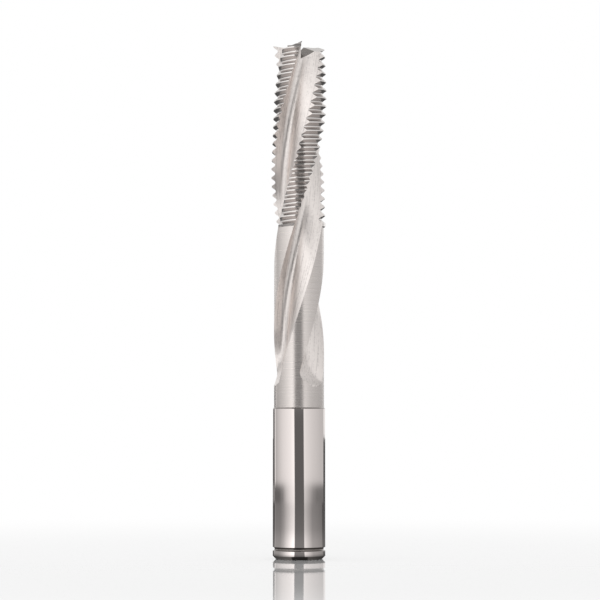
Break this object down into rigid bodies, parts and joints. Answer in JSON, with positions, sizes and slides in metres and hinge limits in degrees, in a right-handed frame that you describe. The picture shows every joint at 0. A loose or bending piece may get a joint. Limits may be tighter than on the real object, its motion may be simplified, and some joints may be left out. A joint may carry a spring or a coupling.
{
  "type": "spiral router bit",
  "caption": "Roughing bit ground from one rod: plain round shank with a ring groove, waisted neck and serrated spiral teeth that cut to the right.",
  "frame": {"origin": "centre of the flat end of the shank", "axes": "+Z along the tool axis from the shank to the tip; -Y faces the viewer"},
  "size_m": [0.017, 0.017, 0.158],
  "materials": {
    "ground_carbide": "ground and polished, uncoated"
  },
  "bodies": {
    "root": {"router_bit": "ground_carbide"}
  },
  "joints": []
}
